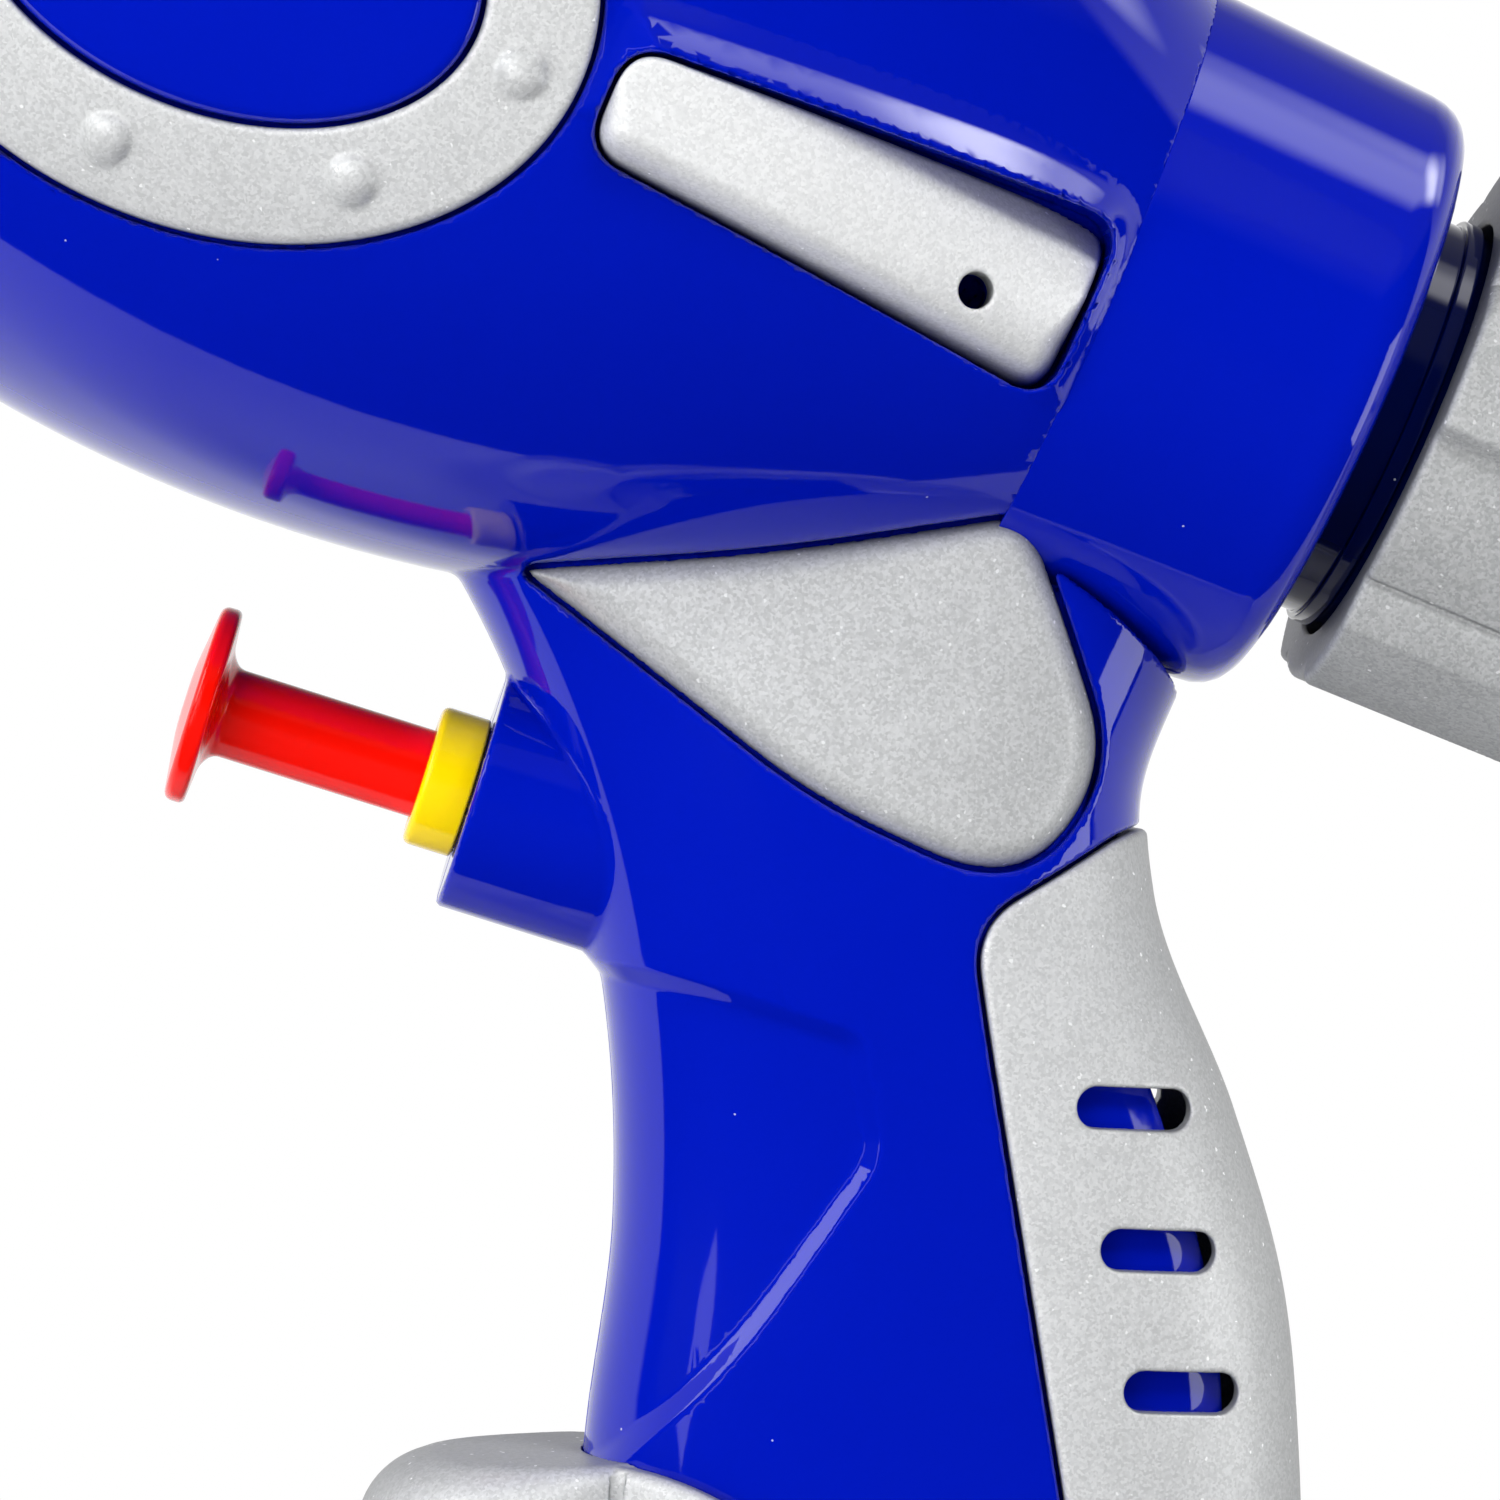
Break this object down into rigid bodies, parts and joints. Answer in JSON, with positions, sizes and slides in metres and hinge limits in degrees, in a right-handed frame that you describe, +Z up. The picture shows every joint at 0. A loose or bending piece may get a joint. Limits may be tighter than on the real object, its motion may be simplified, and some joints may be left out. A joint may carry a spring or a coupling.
{
  "type": "water squirter",
  "caption": "Hand-held water squirter with a spindle-shaped body, a plunger trigger and pump in the handle, a bottle with a screw cap and a flat shoe that it stands on.",
  "frame": {"origin": "middle of the flat sole of the shoe, in the seam plane between the shells", "axes": "+X from the muzzle to the cap, level; +Y to the right side, seen by the hand that holds it; +Z up off the sole"},
  "size_m": [0.1977, 0.0732, 0.1721],
  "materials": {
    "blue_plastic": "glossy royal blue",
    "silver_plastic": "matte silver with fine metallic flake",
    "red_plastic": "glossy red",
    "yellow_plastic": "glossy yellow",
    "white_plastic": "natural white",
    "clear_plastic": "translucent",
    "black_rubber": "soft black",
    "steel": "bright drawn wire and screws"
  },
  "bodies": {
    "frame": {"left_shell": "blue_plastic", "right_shell": "blue_plastic", "rear_collar": "blue_plastic", "reservoir": "blue_plastic", "left_ring_trim": "silver_plastic", "right_ring_trim": "silver_plastic", "left_slot_insert": "silver_plastic", "right_slot_insert": "silver_plastic", "left_side_pad": "silver_plastic", "right_side_pad": "silver_plastic", "grip_backstrap": "silver_plastic", "base_shoe": "silver_plastic", "nose_ring": "silver_plastic", "muzzle_ring": "silver_plastic", "nozzle": "red_plastic", "pump_gland": "yellow_plastic", "pump_cylinder": "white_plastic", "valve_block": "white_plastic", "suction_tube": "clear_plastic", "delivery_tube": "clear_plastic", "return_spring": "steel", "shell_screw_1": "steel", "shell_screw_2": "steel", "shell_screw_3": "steel", "shell_screw_4": "steel"},
    "plunger": {"trigger_plunger": "red_plastic", "piston_seal": "black_rubber"},
    "cap_seal": {"cap_gasket": "black_rubber"},
    "cap": {"filler_cap": "silver_plastic"},
    "inlet_valve": {"inlet_ball": "steel"},
    "outlet_valve": {"outlet_ball": "steel"}
  },
  "joints": [
    {"name": "trigger_press", "type": "slide", "parent": "frame", "child": "plunger", "axis": [0.9532, 0, -0.3024], "range_m": [0, 0.012], "stiffness_N_per_m": 250, "springref_m": -0.008, "deforming": ["return_spring"]},
    {"name": "cap_lift", "type": "slide", "parent": "frame", "child": "cap_seal", "axis": [0.9184, 0, -0.3955], "range_m": [0, 0.0101]},
    {"name": "cap_turn", "type": "hinge", "parent": "cap_seal", "child": "cap", "pos_m": [0.0345, 0, 0.0909], "axis": [0.9184, 0, -0.3955], "range_deg": [0, 900]},
    {"name": "inlet_lift", "type": "slide", "parent": "frame", "child": "inlet_valve", "axis": [0.3024, 0, 0.9532], "range_m": [0, 0.0008]},
    {"name": "outlet_lift", "type": "slide", "parent": "frame", "child": "outlet_valve", "axis": [0.3024, 0, 0.9532], "range_m": [0, 0.0008]}
  ],
  "couplings": [
    {"joint": "cap_lift", "follows": "cap_turn", "m_per_rad": 0.00063662}
  ]
}
